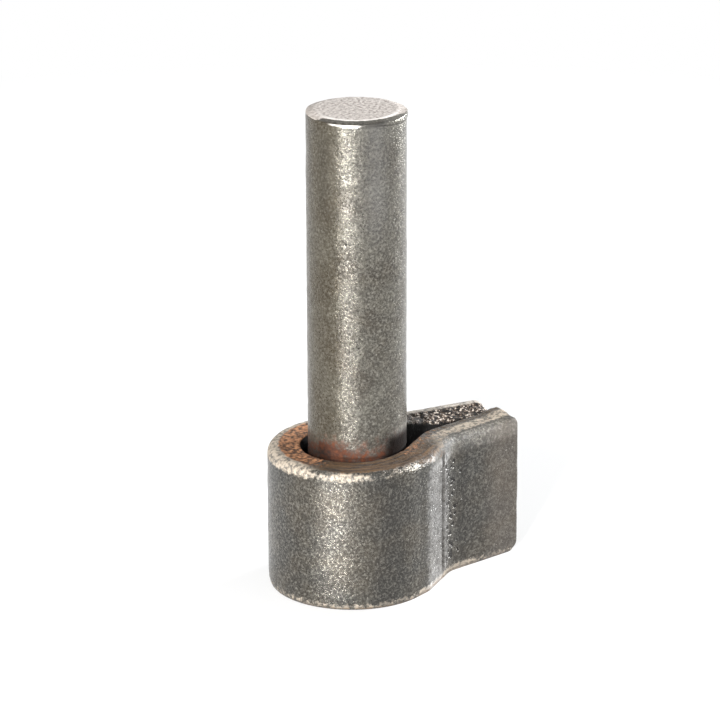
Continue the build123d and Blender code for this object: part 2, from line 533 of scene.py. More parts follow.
class HINGE_OT_wrapped_strap(bpy.types.Operator):
    """Bend the flat bar round the pin into a loop with two legs"""

    bl_idname = "gate_hinge.wrapped_strap"
    bl_label = "Wrapped strap"

    def execute(self, context):
        sizes = context.scene.strap_sizes
        centre = Vector((-sizes.shift_x, sizes.shift_y, 0))
        bore = PIN_RADIUS - centre.dot(outward(sizes.front_exit)) + sizes.front_gap
        start = centre - Vector((bore + sizes.thickness / 2, 0, 0))
        deselect_all()
        piece = strap_section(sizes, start)
        ramp_start, tab_end = bend_front_leg(sizes, start, bore)
        leg_start, leg_heading = bend_back_leg(piece, sizes, start, bore, tab_end)
        select_all()
        bpy.ops.mesh.remove_doubles(threshold=SAME_PLACE)
        turn_out()
        at = survey_strap(piece, sizes, centre, tab_end, ramp_start, leg_start, leg_heading)
        lean_back_top(piece, sizes, at)
        press_ramp(piece, sizes, at)
        sharpen_ends(piece, sizes, at)
        roughen_strap(piece, at)
        for masks in (strap_stains_and_shade(at), strap_wear(piece, at), strap_sheen(piece, at)):
            paint(piece, masks)
        piece.data.materials.append(flat_steel(context.scene.finish))
        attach(piece, "root")
        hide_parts("wrapped_strap")
        return {"FINISHED"}


def survey_strap(piece, sizes, centre, tab_end, ramp_start, leg_start, leg_heading):
    """Where each vertex of the plain bent bar lies in millimetres, and what part it is in."""
    places = points(piece)
    at = SimpleNamespace(half=sizes.thickness / 2 / MM, tab_end=tab_end / MM)
    at.x, at.y, at.z = places.T / MM
    at.from_top = sizes.width / MM - at.z
    at.round_loop = np.degrees(np.arctan2(at.y - centre.y / MM, at.x - centre.x / MM)) % 360

    # The back leg, from its bend on: down its length and in from its outer face
    at.down_leg = (places - np.array(leg_start)) @ np.array(leg_heading) / MM
    at.in_leg = at.half - (places - np.array(leg_start)) @ np.array(UP.cross(leg_heading)) / MM
    at.on_leg = smooth(at.down_leg, -1, 0) * (np.abs(at.in_leg - at.half) < at.half + 0.1)

    # The front leg: along and out of its ramp, its stretches from the loop outwards, and its tab
    along = Vector((math.cos(sizes.ramp_angle), math.sin(sizes.ramp_angle), 0))
    out = outward(sizes.ramp_angle)
    at.from_mark = ((places - np.array(ramp_start)) @ np.array(along) - sizes.mark_offset) / MM
    at.outer = (places - np.array(ramp_start)) @ np.array(out) / MM > at.half - 0.3
    margin = sizes.mark_margin / MM
    at.tall = smooth(at.z, margin, margin + 1) * smooth(at.from_top, margin, margin + 1)
    at.front_leg = (at.x > 2) & (at.y < -2)
    at.ramp = at.front_leg * smooth(at.x, 16, 9)
    at.bend = at.front_leg * smooth(at.x, 22, 13)
    at.off_loop = at.front_leg * smooth(at.x, 3, 9)
    at.far_out = smooth(at.x, 9, 14)
    at.near_loop = smooth(at.x, 4, 7) * (1 - at.far_out)
    at.tab = (at.x > at.tab_end.x - 4) & (at.y < at.tab_end.y + at.half + 0.1)
    at.near_end = at.tab * smooth(at.x, at.tab_end.x - 4, at.tab_end.x - 1.5)

    # Across the bar: 0 at its inner face and 1 at its outer face
    at.across = values(piece, "across")
    beyond = (at.down_leg > 0) & (at.on_leg > 0)
    at.across[beyond] = 1 - at.in_leg[beyond] / (2 * at.half)
    at.across[at.tab] = 0.5 - (at.y[at.tab] - at.tab_end.y) / (2 * at.half)
    at.rolled = smooth(at.across, 0.64, 0.8)

    # The loop's sides, the bar's top and its rim, and what is torn of them
    at.left = smooth(np.abs(at.round_loop - 125), 95, 52) * ~at.front_leg
    at.front = (1 - at.left) * ~at.front_leg * (1 - at.on_leg)
    at.top = smooth(at.from_top, 1.2, 0.2)
    at.rim = smooth(at.from_top, 2.2, 0.9)
    at.torn = at.top * at.on_leg * smooth(at.down_leg, -0.5, 1)
    at.inside = smooth(at.in_leg, 0.6, 1.6)
    return at


def lean_back_top(piece, sizes, at):
    """Let the back leg's top lean, so that only its far edge stays at full height."""
    drop = np.minimum(np.tan(sizes.roll) * at.in_leg, np.tan(sizes.slope) * at.down_leg)
    drop = np.clip(drop, 0, None) * at.on_leg * smooth(at.from_top, 9, 0)
    at.lean = float(drop.max())
    shape(piece, "lean", drop / at.lean, -at.lean, "Z")


def press_ramp(piece, sizes, at):
    """Press the upright mark into the ramp and raise the lip beside it."""
    mark = np.clip(1 - np.abs(at.from_mark) / (sizes.mark_width / 2 / MM), 0, 1)
    proud = span(at.from_mark, 0.1, 0.4, 0.5, 2.4)
    shape(piece, "press_mark", mark * at.outer * at.tall, -sizes.mark_depth / MM)
    shape(piece, "press_lip", proud * at.outer * at.tall, PRESS_LIP)


def sharpen_ends(piece, sizes, at):
    """Make the top edge crisp on the back leg and at the tab's end, and wear the tab's corner."""
    top_round = sizes.top_round / MM
    depth = np.where(at.tab, (1 - at.across) * 2 * at.half, at.in_leg)
    fill = np.clip(edge_drop(top_round, depth) - edge_drop(CRISP_ROUND, depth), 0, None)
    fill *= np.maximum(at.on_leg, at.near_end) * (at.from_top < top_round + at.lean)
    shape(piece, "crisp_edge", fill / fill.max(), float(fill.max()), "Z")
    corner = at.near_end * smooth(at.x, at.tab_end.x - 1.6, at.tab_end.x)
    corner *= smooth(at.from_top, 2.0, 0.2) * smooth(at.across, 0.3, 0.8)
    shape(piece, "corner", corner, -CORNER_WEAR, "X")


def roughen_strap(piece, at):
    """Raise the burr, tear and saw the top, fray the foot, then dent and grain the whole skin."""
    burr = at.front_leg * smooth(at.x, 23, 26) * smooth(at.from_top, 3, 0)
    burr *= smooth(at.tab_end.x - at.x, 0, 0.4) * smooth(at.across, 0.9, 0.3)
    shape(piece, "burr", burr, BURR_HEIGHT, "Z")
    shape(piece, "torn_top", at.torn * at.inside, TEAR_DEPTH, "Z", lumps("tear", 1.1, 3, 1.6), 0.55)
    shape(piece, "rough_top", at.top * (1 - at.on_leg), SAW_DEPTH, "Z", lumps("saw", 0.9), 0.5)
    foot = smooth(at.z, 2.4, 0.2) ** 2 * outside(piece) * (0.3 + 0.7 * at.bend)
    shape(piece, "foot", foot, -FOOT_WEAR, texture=lumps("nick", 1.6), midlevel=-0.3)
    skin = smooth(at.z, 0.05, 0.5)
    shape(piece, "dents", skin, STRAP_DENTS, texture=lumps("dents", 4.5, 1), midlevel=0.75)
    shape(piece, "grain", skin, STRAP_GRAIN, texture=lumps("grain", 1.2), midlevel=0.7)


def strap_stains_and_shade(at):
    """Masks of rust, brown scale, torn steel and pits, and of painted shade: near black in the bore
    and between the legs, darker on the torn top near the pin.
    """
    rust = at.left * smooth(at.across, 0.74, 0.58) + 0.4 * at.ramp * smooth(at.across, 0.6, 0.2)
    brown = (
        smooth(at.from_top, 1.5, 0.5) * at.front * smooth(at.across, 0.96, 0.74),
        0.75 * at.top * at.front_leg * smooth(at.x, 14, 7),
        0.45 * at.ramp * at.rim * smooth(at.across, 0.6, 0.9),
        0.5 * at.top * at.front_leg * smooth(at.across, 0.45, 0.15),
        0.45 * at.near_loop * at.off_loop * smooth(at.from_top, 2.4, 1.4),
        0.5 * smooth(at.z, 0.7, 0.2),
    )
    # Painted shade: near black on the inner faces, in the bore and the gap between the legs, and
    # darker on the torn top near the pin
    bore = (
        smooth(at.across, 0.08, 0.0) * smooth(at.from_top, 0.05, 0.6),
        0.5 * at.torn * smooth(at.down_leg, 7, 2) * at.inside,
    )
    pitted = (
        bell(at.x, -9.9, 1.6) * bell(at.y, -10.3, 1.6) * bell(at.z, 11.4, 1.6),
        span(at.from_mark, 0.6, 1.0, 3.5, 7) * at.outer * at.tall,
    )
    return {
        "rust": at.top * rust,
        "brown": np.maximum.reduce(brown),
        "torn": at.torn * smooth(at.in_leg, 1.1, 1.7),
        "bore": np.maximum.reduce(bore),
        "pitted": np.maximum.reduce(pitted),
    }


def strap_wear(piece, at):
    """Masks of the steel that wear has laid bare, with a painted highlight along the outer top rim
    at the loop's front, and of the rolled edge that stays matt.
    """
    # A painted highlight along the outer top rim at the loop's front
    lip = np.maximum(0.74 * bell(at.round_loop, 220, 26), 0.38 * bell(at.round_loop, 265, 24))
    flat_top = (0.55 + 0.2 * at.far_out) * smooth(at.across, 0.12, 0.42)
    worn = (
        1.2 * at.rim * at.left * smooth(at.across, 0.55, 0.72),
        flat_top * at.top * at.off_loop * (1 - 0.8 * at.rolled * at.far_out),
        0.78 * at.top * at.off_loop * smooth(at.across, 0.45, 0.6) * (1 - at.far_out),
        lip * at.front * smooth(at.across, 0.78, 0.9) * smooth(at.from_top, 1.9, 1.1),
        at.on_leg * at.rim * smooth(at.in_leg, 1.7, 1.3),
        (0.45 + 0.5 * at.bend) * smooth(at.z, 2.0, 0.6) * outside(piece),
    )
    matt = (0.6 + 0.35 * at.near_loop) * at.off_loop * at.rolled * smooth(at.from_top, 3.6, 2.0)
    return {"worn": np.maximum.reduce(worn), "matt": matt}


def strap_sheen(piece, at):
    """Masks of painted highlights on the ramp and on the back leg's far edge, of painted shade, of
    a lighter field that is partly painted light, and of the way round.
    """
    side = outside(piece)
    flank = (at.y < at.tab_end.y - at.half + 0.3) * at.front_leg
    # Painted highlights: a bright band on the ramp before the press mark, a bright strip just past
    # the mark, and the back leg's far edge
    lit_ramp_band = span(at.from_mark, -8.5, -4, 0.6, 0.9) * at.front_leg * side
    polished = (
        lit_ramp_band * smooth(at.from_top, 0.6, 3.5),
        span(at.from_mark, 0.4, 0.5, 0.8, 4.5) * at.outer * at.tall,
        at.on_leg * at.rim * smooth(at.in_leg, 1.7, 1.2),
    )
    # Painted shade: darker on the tab's flank, most in the hollow of its bend, and on the loop's
    # front right of the middle
    shade = (
        flank * bell(at.x, 15.2, 2.8),
        0.85 * at.front * side * bell(at.round_loop, 258, 17),
        0.65 * flank,
    )
    return {
        "polished": np.maximum.reduce(polished),
        "shade": np.maximum.reduce(shade),
        # Lighter and pinker towards the tab's end: partly its colour, partly painted light
        "blush": flank * smooth(at.x, 18, 24),
        # Painted shade: a dark line in the bottom of the press mark's groove
        "line": 0.5 * span(at.from_mark, -0.3, -0.1, 0.3, 0.5) * at.outer * at.tall,
        "turn": at.round_loop / 360,
    }


def bar_outline(sizes):
    """Half outline of the round bar as radius and height, from its foot to its tip."""
    radius = sizes.diameter / 2
    groove_top = STRAP_BOX[1].z + sizes.groove_rise
    groove_foot = groove_top - sizes.groove_width
    return (
        (radius - sizes.foot_chamfer, 0),
        (radius, sizes.foot_chamfer),
        (radius, groove_foot),
        (radius - sizes.groove_depth, groove_foot + sizes.groove_depth),
        (radius - sizes.groove_depth, groove_top),
        (radius, groove_top),
        (radius, sizes.height - TIP_ZONE),
        (radius, sizes.height - sizes.tip_height),
        (radius - sizes.tip_width, sizes.height),
    )


def draw_outline(outline, sizes):
    """Draw the round bar's half outline, with finer steps at the tip, and stay in edit mode."""
    bpy.ops.mesh.primitive_circle_add(vertices=3, radius=1 * MM)
    piece = named("steel_pin")
    pick(piece, lambda v: v.index > 0)
    bpy.ops.mesh.delete(type="VERT")
    select_all()
    mesh = bmesh.from_edit_mesh(piece.data)
    mesh.verts.ensure_lookup_table()
    first = Vector((outline[0][0], 0, outline[0][1]))
    bpy.ops.transform.translate(value=first - mesh.verts[0].co)
    for start, end in zip(outline, outline[1:]):
        leg = Vector((end[0] - start[0], 0, end[1] - start[1]))
        share = TIP_PITCH if start[1] > sizes.height / 2 else 1
        steps = max(1, round(leg.length / (sizes.pitch * share)))
        for _ in range(steps):
            extrude(leg / steps)
    return piece


def turn_outline(piece, outline, sizes):
    """Turn the half outline once round the pin's axis and close both ends."""
    around = 4 * round(math.tau * sizes.diameter / 2 / sizes.pitch / 4)
    select_all()
    bpy.ops.mesh.spin(steps=around, angle=math.tau, center=(0, 0, 0), axis=UP)
    select_all()
    bpy.ops.mesh.remove_doubles(threshold=SAME_PLACE)
    for level in (outline[0][1], outline[-1][1]):
        pick(
            piece,
            lambda e: all(abs(v.co.z - level) < SAME_PLACE for v in e.verts) and e.is_boundary,
            "edges",
        )
        bpy.ops.mesh.fill_grid(span=around // 4)
    turn_out()


class HINGE_OT_round_bar(bpy.types.Operator):
    """Turn the round bar with its chamfered tip, its groove and its bevelled foot"""

    bl_idname = "gate_hinge.round_bar"
    bl_label = "Round bar"

    def execute(self, context):
        sizes = context.scene.bar_sizes
        outline = bar_outline(sizes)
        deselect_all()
        piece = draw_outline(outline, sizes)
        turn_outline(piece, outline, sizes)
        at = survey_bar(piece, sizes)
        shape_bar(piece, at)
        paint(piece, bar_masks(at))
        piece.data.materials.append(round_steel(context.scene.finish))
        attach(piece, "root")
        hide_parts("hinge_pin")
        return {"FINISHED"}


def survey_bar(piece, sizes):
    """Where each vertex of the plain round bar lies, in millimetres and in degrees."""
    at = SimpleNamespace()
    at.x, at.y, at.z = points(piece).T / MM
    at.turn = np.degrees(np.arctan2(at.y, at.x))
    at.right = (at.turn - FRONT_BEARING + 180) % 360 - 180
    at.reach = np.hypot(at.x, at.y)
    at.wall = at.reach > sizes.diameter / 2 / MM - 0.05
    at.from_tip = sizes.height / MM - at.z
    at.above = at.z - STRAP_BOX[1].z / MM
    at.facing = smooth(np.abs(at.turn + 144), 22, 14)
    at.lip_foot = 0.75 + 0.65 * smooth(at.right, 15, 75)
    return at


def shape_bar(piece, at):
    """Grind the facet, push the burr's lip out, make the edge uneven and dent the skin."""
    facet = at.facing * at.wall * np.clip((1.0 - at.from_tip) / 0.55, 0, 1)
    shape(piece, "facet", facet, -FACET_DEPTH)
    lip = smooth(at.from_tip, at.lip_foot + 0.1, at.lip_foot - 0.25) * at.wall
    shape(piece, "lip", lip * span(at.right, -2, 12, 90, 110), LIP_HEIGHT)
    uneven = smooth(at.from_tip, 1.6, 0.6) * at.wall * (1 - at.facing)
    shape(piece, "uneven", uneven, UNEVEN_EDGE, texture=lumps("lip", 2.2), midlevel=0.6)
    plain = 1 - at.facing * smooth(at.from_tip, 1.6, 1.1)
    plain *= smooth(at.from_tip, 0.05, 0.4) * smooth(at.z, 0.05, 0.5)
    shape(piece, "dents", plain, PIN_DENTS, texture=lumps("roll", 3.5, 1), midlevel=0.5)
    shape(piece, "grain", plain, PIN_GRAIN, texture=lumps("skin", 1.2), midlevel=0.5)
    sunk = smooth(at.reach, 4, 6.7) * smooth(np.abs(at.right), 95, 150)
    shape(piece, "sunk", sunk * smooth(at.from_tip, 0.9, 0), -BACK_SINK, "Z")


def bar_masks(at):
    """Masks of rust, painted shade, the sawn face, painted highlights on its facet and its near
    rim, a tan field on the left and a painted highlight high on the right.
    """
    edge = np.clip((at.reach - 6.5) / 1.3, 0, 1)
    near = smooth(np.abs(at.turn + 122), 100, 20)
    low = smooth(at.above, 5, 0)
    rust = (
        low * (0.5 + 0.7 * bell(at.turn, -172, 34)),
        1.2 * low * bell(at.turn, -66, 34),
        0.75 * smooth(at.above, 2.8, 0.2),
    )
    streak = bell(at.turn, -168, 9) * smooth(at.from_tip, 1.5, 4)
    # Painted shade: below the tip's lip and chamfer, at both sides of the pin just above the loop,
    # and down a dark band on its upper left
    under = (
        0.6 * bell(at.from_tip, at.lip_foot, 0.2) * span(at.right, 8, 25, 90, 110),
        0.6 * bell(at.from_tip, 0.5, 0.16) * smooth(np.abs(at.right), 45, 25),
        0.97 * smooth(at.above, 5, 2) * span(at.right, 22, 45, 120, 150),
        0.5 * smooth(at.above, 3.6, 1) * span(at.right, -150, -120, -45, -25),
        0.3 * streak * smooth(at.from_tip, 22, 10),
    )
    # Painted highlight on the near rim of the sawn tip
    brim = smooth(at.reach, 6.3, 6.6) * smooth(np.abs(at.right - 10), 85, 40) * (at.from_tip < 0.1)
    # Painted highlight: a bright streak on the ground facet below the tip's lip
    facet = at.facing * at.wall * smooth(at.from_tip, 0.85, 0.7) * (at.from_tip > 0.5)
    return {
        "rust": np.maximum.reduce(rust),
        "under": np.maximum.reduce(under),
        "cut": smooth(at.from_tip, 0.6, 0.35) * (1 - 1.6 * near * edge),
        "edge": edge,
        "brim": 0.6 * brim,
        "facet": facet,
        "tan": smooth(np.abs(at.right + 60), 50, 30) * at.wall,
        # A painted highlight high on the pin's right
        "pale": bell(at.right, 24, 16) * smooth(at.from_tip, 24, 14) * at.wall,
    }


def weld_outline(sizes, bar):
    """Section of the weld as radius and height: its crown, then its wall up into the bevel."""
    outline = []
    for ring in range(WELD_RINGS + 1):
        radius = sizes.inner - (sizes.inner - sizes.outer) * ring / WELD_RINGS
        crown = abs(2 * ring / WELD_RINGS - 1) ** 2
        outline.append((radius, sizes.low + (sizes.edge - sizes.low) * crown))
    foot = bar.diameter / 2 - bar.foot_chamfer
    outline += [(sizes.outer, sizes.top), (foot + sizes.top - sizes.sink, sizes.top)]
    return outline


def draw_weld(outline, sizes):
    """Draw the weld ring by ring; its outer rings lie round the loop's centre, not the pin's."""
    inner, level = outline[0]
    bpy.ops.mesh.primitive_circle_add(vertices=WELD_FACES, radius=inner, location=(0, 0, level))
    piece = named("weld_ring")
    select_all()
    bpy.ops.mesh.select_mode(type="EDGE")
    aside = Vector((sizes.shift_x, sizes.shift_y, 0))
    centre = Vector((0, 0, level))
    for (old, _), (new, height) in zip(outline, outline[1:]):
        outwards = min(max((new - inner) / (sizes.outer - inner), 0), 1)
        goal = aside * outwards + UP * height
        extrude(goal - centre)
        bpy.ops.transform.resize(value=(new / old, new / old, 1), center_override=goal)
        centre = goal
    pick(piece, lambda e: e.is_boundary, "edges")
    bpy.ops.mesh.bridge_edge_loops()
    turn_out()
    return piece


def ripple_weld(piece, sizes):
    """Raise the ripples that the weld left as it moved on, curved by the torch's lead."""
    places = points(piece)
    turn = np.arctan2(places[:, 1], places[:, 0])
    radial = (np.hypot(places[:, 0], places[:, 1]) - sizes.inner) / (sizes.outer - sizes.inner)
    ripple = 0.5 + 0.5 * np.cos(sizes.ripples * turn + 20 * (radial - 0.5) ** 2)
    low = smooth(places[:, 2], sizes.edge + 0.3 * MM, sizes.edge)
    shape(piece, "ripples", ripple * low, sizes.ripple_depth / MM, "Z")


class HINGE_OT_weld_bead(bpy.types.Operator):
    """Lay the weld round the pin's foot, with ripples as the torch moved on"""

    bl_idname = "gate_hinge.weld_bead"
    bl_label = "Weld bead"

    def execute(self, context):
        sizes = context.scene.weld_sizes
        deselect_all()
        piece = draw_weld(weld_outline(sizes, context.scene.bar_sizes), sizes)
        ripple_weld(piece, sizes)
        piece.data.materials.append(weld_metal(context.scene.finish))
        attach(piece, "root")
        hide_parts("weld_bead")
        return {"FINISHED"}


def add_node(tree, kind, inputs=(), output=0, **settings):
    """Add a shader node, set it up, give its inputs values or links, and return an output."""
    made = tree.nodes.new("ShaderNode" + kind)
    for name, value in settings.items():
        setattr(made, name, value)
    for name, value in dict(inputs).items():
        if isinstance(value, bpy.types.NodeSocket):
            tree.links.new(value, made.inputs[name])
        else:
            made.inputs[name].default_value = value
    return made.outputs[output] if made.outputs else made


def new_material(name):
    """An empty material, with its node tree and its output."""
    material = bpy.data.materials.new(name)
    material.use_nodes = True
    tree = material.node_tree
    tree.nodes.clear()
    return material, tree, add_node(tree, "OutputMaterial")


def overlay(tree, below, tint, pattern, start, full, most=1.0):
    """Lay a colour over another as a pattern passes from its start to its full value."""
    amount = add_node(
        tree, "MapRange", {"Value": pattern, "From Min": start, "From Max": full, "To Max": most}
    )
    return add_node(tree, "Mix", {0: amount, 6: below, 7: tint}, output=2, data_type="RGBA")


def painted_tints(tree, body, tints):
    """Lay colours over the body where their masks are painted, each up to its own share."""
    for name, most, code in tints:
        mask = add_node(tree, "Attribute", output="Fac", attribute_name=name)
        body = overlay(tree, body, linear(code), mask, 0.0, 1.0, most)
    return body


def frayed(tree, name, loose, onset, start, full):
    """A painted mask whose edge frays along a loose pattern, and none where nothing is painted."""
    mask = add_node(tree, "Attribute", output="Fac", attribute_name=name)
    edged = add_node(tree, "Math", {0: mask, 1: loose}, operation="ADD")
    wanted = add_node(tree, "Math", {0: mask, 1: onset}, operation="MULTIPLY", use_clamp=True)
    shown = add_node(tree, "MapRange", {"Value": edged, "From Min": start, "From Max": full})
    return add_node(tree, "Math", {0: shown, 1: wanted}, operation="MULTIPLY")


def raw_steel(tree, output, body, rough, metal, height, relief, strength=1.0):
    """Shader of raw steel, with a relief whose depth is given in millimetres."""
    bump = add_node(tree, "Bump", {"Height": height, "Distance": relief * MM, "Strength": strength})
    shader = add_node(
        tree, "BsdfPrincipled",
        {"Base Color": body, "Roughness": rough, "Metallic": metal, "Normal": bump},
    )
    tree.links.new(shader, output.inputs["Surface"])


def scale_skin(tree, finish, grey, patterns):
    """Skin of hot-rolled steel: its colour, roughness and height, and all patterns by name."""
    place = add_node(tree, "TexCoord", output="Object")
    mm = add_node(tree, "VectorMath", {0: place, "Scale": 1 / MM}, operation="SCALE")
    noise = {}
    for name, (size, detail, crumbled) in {**SKIN_PATTERNS, **patterns}.items():
        noise[name] = add_node(
            tree, "TexNoise",
            {"Vector": mm, "Scale": 1 / size, "Detail": detail, "Roughness": crumbled},
        )
    grain = noise["grain"]
    body = list(grey)
    for pattern, tint, start, full, most in (
        ("patch", finish.scale_warm, 0.4, 0.62, 1.0),
        ("blotch", finish.scale_dark, 0.62, 0.4, 0.45),
        ("grain", finish.bare, 0.48, 0.74, 0.6),
        ("grain", finish.scale_dark, 0.5, 0.25, 0.8),
    ):
        body = overlay(tree, body, list(tint), noise[pattern], start, full, most)

    # Pits sit in the cells of a mosaic, and only where they cluster or are asked for
    cells = add_node(tree, "TexVoronoi", {"Vector": mm, "Scale": 1 / PIT_SPACING})
    asked = add_node(tree, "Attribute", output="Fac", attribute_name="pitted")
    cluster = add_node(
        tree, "Math", {0: asked, 1: 0.45, 2: noise["cluster"]}, operation="MULTIPLY_ADD"
    )
    size = add_node(
        tree, "MapRange", {"Value": cluster, "From Min": 0.6, "From Max": 0.9, "To Max": 0.42}
    )
    near = add_node(tree, "Math", {0: size, 1: cells}, operation="SUBTRACT")
    pit = add_node(tree, "MapRange", {"Value": near, "From Min": 0.0, "From Max": 0.08})
    body = add_node(
        tree, "Mix", {0: pit, 6: body, 7: linear("#1f1b18")}, output=2, data_type="RGBA"
    )

    rough = add_node(
        tree, "MapRange",
        {"Value": grain, "From Min": 0.3, "From Max": 0.7, "To Min": 0.33, "To Max": 0.18},
    )
    speck = add_node(tree, "MapRange", {"Value": grain, "From Min": 0.36, "From Max": 0.64})
    raised = add_node(
        tree, "Math", {0: speck, 1: 0.6, 2: noise["blotch"]}, operation="MULTIPLY_ADD"
    )
    height = add_node(tree, "Math", {0: pit, 1: -1.5, 2: raised}, operation="MULTIPLY_ADD")
    return body, rough, height, noise


def drawn_fibres(tree):
    """Brown scale in fine fibres that run along the bar, as the rolls drew it out."""
    ways = []
    for name, fibres in (("turn", FIBRES_ROUND), ("across", FIBRES_ACROSS)):
        way = add_node(tree, "Attribute", output="Fac", attribute_name=name)
        ways.append(add_node(tree, "Math", {0: way, 1: fibres}, operation="MULTIPLY"))
    bar = add_node(tree, "CombineXYZ", {"X": ways[0], "Y": ways[1]})
    lines = add_node(tree, "TexNoise", {"Vector": bar, "Scale": 1.0, "Detail": 3, "Roughness": 0.7})
    return overlay(tree, linear("#120a05"), linear("#654a2c"), lines, 0.35, 0.65)


def torn_face(tree, pattern):
    """Torn steel: black hollows, brown grit and bright sparks of bare grain."""
    grit = overlay(tree, linear("#0a0705"), linear("#6b594a"), pattern, 0.47, 0.56)
    return overlay(tree, grit, linear("#e3dacf"), pattern, 0.56, 0.62)


def sawn_face(tree, finish, pattern):
    """Sawn steel: pale grit, dulled towards its edge, with a painted highlight on its near rim."""
    face = overlay(tree, linear("#857c76"), list(finish.cut_face), pattern, 0.35, 0.6)
    return painted_tints(tree, face, (("edge", 0.5, "#a39b93"), ("brim", 1.0, "#f2eee9")))


def flat_steel(finish):
    """Hot-rolled flat bar, bent hot and left raw: mottled grey scale, rust on its sheared top."""
    material, tree, output = new_material("hot_rolled_flat_steel")
    body, rough, height, noise = scale_skin(tree, finish, finish.scale_mid, STRAP_PATTERNS)
    fibre = noise["fibre"]
    loose = add_node(tree, "Math", {0: fibre, 1: 1.6, 2: -0.8}, operation="MULTIPLY_ADD")
    stains_and_painted_light = {}
    for name in ("rust", "brown", "worn", "torn", "bore"):
        stains_and_painted_light[name] = frayed(tree, name, loose, 6.0, 0.3, 0.75)
    painted = {}
    for name in ("polished", "line", "matt"):
        painted[name] = add_node(tree, "Attribute", output="Fac", attribute_name=name)
    gritty = add_node(
        tree, "MapRange",
        {"Value": fibre, "From Min": 0.4, "From Max": 0.56, "To Min": 0.12, "To Max": 0.95},
    )
    share = {}
    for name, mask, most in (
        ("bare", stains_and_painted_light["worn"], gritty),
        ("dusty", stains_and_painted_light["worn"], 0.6),
        ("brown", stains_and_painted_light["brown"], 0.9),
        ("polished", painted["polished"], fibre),
    ):
        share[name] = add_node(tree, "Math", {0: mask, 1: most}, operation="MULTIPLY")

    # Pale steel where wear laid it bare, and a painted highlight along the loop's front top rim
    bare = linear("#baad9c")
    body = add_node(tree, "Mix", {0: share["bare"], 6: body, 7: bare}, output=2, data_type="RGBA")
    # Painted shade on the tab's flank and the loop's front, and a lighter, pinker field at the
    # tab's end that is partly painted light
    body = painted_tints(tree, body, (("shade", 0.42, "#2f2d2b"), ("blush", 0.2, "#857a70")))
    # Painted highlight: a pale grainy sheen, laid on where the highlights are painted
    sheen = overlay(tree, linear("#65625f"), linear("#d6d4d2"), height, 0.35, 0.95)
    body = overlay(tree, body, sheen, share["polished"], 0.2, 0.6, 0.46)
    rusty = overlay(tree, list(finish.rust_deep), list(finish.rust_light), fibre, 0.42, 0.6)
    for amount, tint in (
        # Painted shade in the press mark's groove
        (painted["line"], linear("#231f1d")),
        (share["brown"], drawn_fibres(tree)),
        (stains_and_painted_light["rust"], rusty),
        (stains_and_painted_light["torn"], torn_face(tree, noise["fracture"])),
        # Painted shade, near black, in the bore and between the legs
        (stains_and_painted_light["bore"], linear("#080504")),
    ):
        body = add_node(tree, "Mix", {0: amount, 6: body, 7: tint}, output=2, data_type="RGBA")

    # Whatever isn't clean scale is dull and coarse
    dull = stains_and_painted_light["rust"]
    for other in (stains_and_painted_light["bore"], stains_and_painted_light["torn"], share["brown"], share["dusty"], painted["matt"]):
        dull = add_node(tree, "Math", {0: dull, 1: other}, operation="MAXIMUM")
    metal = add_node(tree, "MapRange", {"Value": dull, "To Min": 0.8, "To Max": 0.05})
    rough = add_node(tree, "Mix", {0: dull, 2: rough, 3: 0.85}, data_type="FLOAT")
    coarse = add_node(tree, "Math", {0: fibre, 1: dull}, operation="MULTIPLY")
    height = add_node(tree, "Math", {0: coarse, 1: 4.0, 2: height}, operation="MULTIPLY_ADD")
    raw_steel(tree, output, body, rough, metal, height, STRAP_RELIEF)
    return material


def round_steel(finish):
    """Hot-rolled round bar gone dull: grey scale with a painted highlight high on its right, a pale
    sawn tip with painted highlights, rust, and painted shade below the lip and at the foot.
    """
    material, tree, output = new_material("hot_rolled_round_steel")
    body, rough, height, noise = scale_skin(tree, finish, finish.pin_scale, PIN_PATTERNS)
    # A tan field on the left, and a painted highlight high on the right
    body = painted_tints(tree, body, (("tan", 0.3, "#54482f"), ("pale", 0.3, "#8e8d8c")))
    fibre = noise["fibre"]
    loose = add_node(tree, "Math", {0: fibre, 1: 1.4, 2: -0.7}, operation="MULTIPLY_ADD")
    rust = frayed(tree, "rust", loose, 5.0, 0.15, 0.8)
    rusty = overlay(tree, linear("#180b05"), linear("#592d13"), fibre, 0.35, 0.65)
    cut = add_node(tree, "Attribute", output="Fac", attribute_name="cut")
    ragged = add_node(tree, "Math", {0: loose, 1: 0.4, 2: cut}, operation="MULTIPLY_ADD")
    face = add_node(tree, "MapRange", {"Value": ragged, "From Min": 0.4, "From Max": 0.6})
    for amount, tint in ((rust, rusty), (face, sawn_face(tree, finish, noise["sawn"]))):
        body = add_node(tree, "Mix", {0: amount, 6: body, 7: tint}, output=2, data_type="RGBA")
    # Painted shade below the lip and at the foot, and a painted highlight on the ground facet
    body = painted_tints(tree, body, (("under", 1.0, "#120b07"), ("facet", 1.0, "#d8d3cc")))

    # Rust and the sawn face are dull, the painted shade has no shine at all, the facet is smooth
    under = add_node(tree, "Attribute", output="Fac", attribute_name="under")
    facet = add_node(tree, "Attribute", output="Fac", attribute_name="facet")
    rugged = add_node(tree, "MapRange", {"Value": facet, "To Min": 1.0, "To Max": 0.15})
    dull = add_node(tree, "Math", {0: rust, 1: face}, operation="MAXIMUM")
    metal = add_node(tree, "MapRange", {"Value": dull, "To Min": 0.8, "To Max": 0.05})
    metal = add_node(tree, "Math", {0: metal, 1: under}, operation="MAXIMUM")
    rough = add_node(tree, "Mix", {0: dull, 2: rough, 3: 0.85}, data_type="FLOAT")
    rough = add_node(tree, "Mix", {0: under, 2: rough, 3: 1.0}, data_type="FLOAT")
    raw_steel(tree, output, body, rough, metal, height, PIN_RELIEF, rugged)
    return material


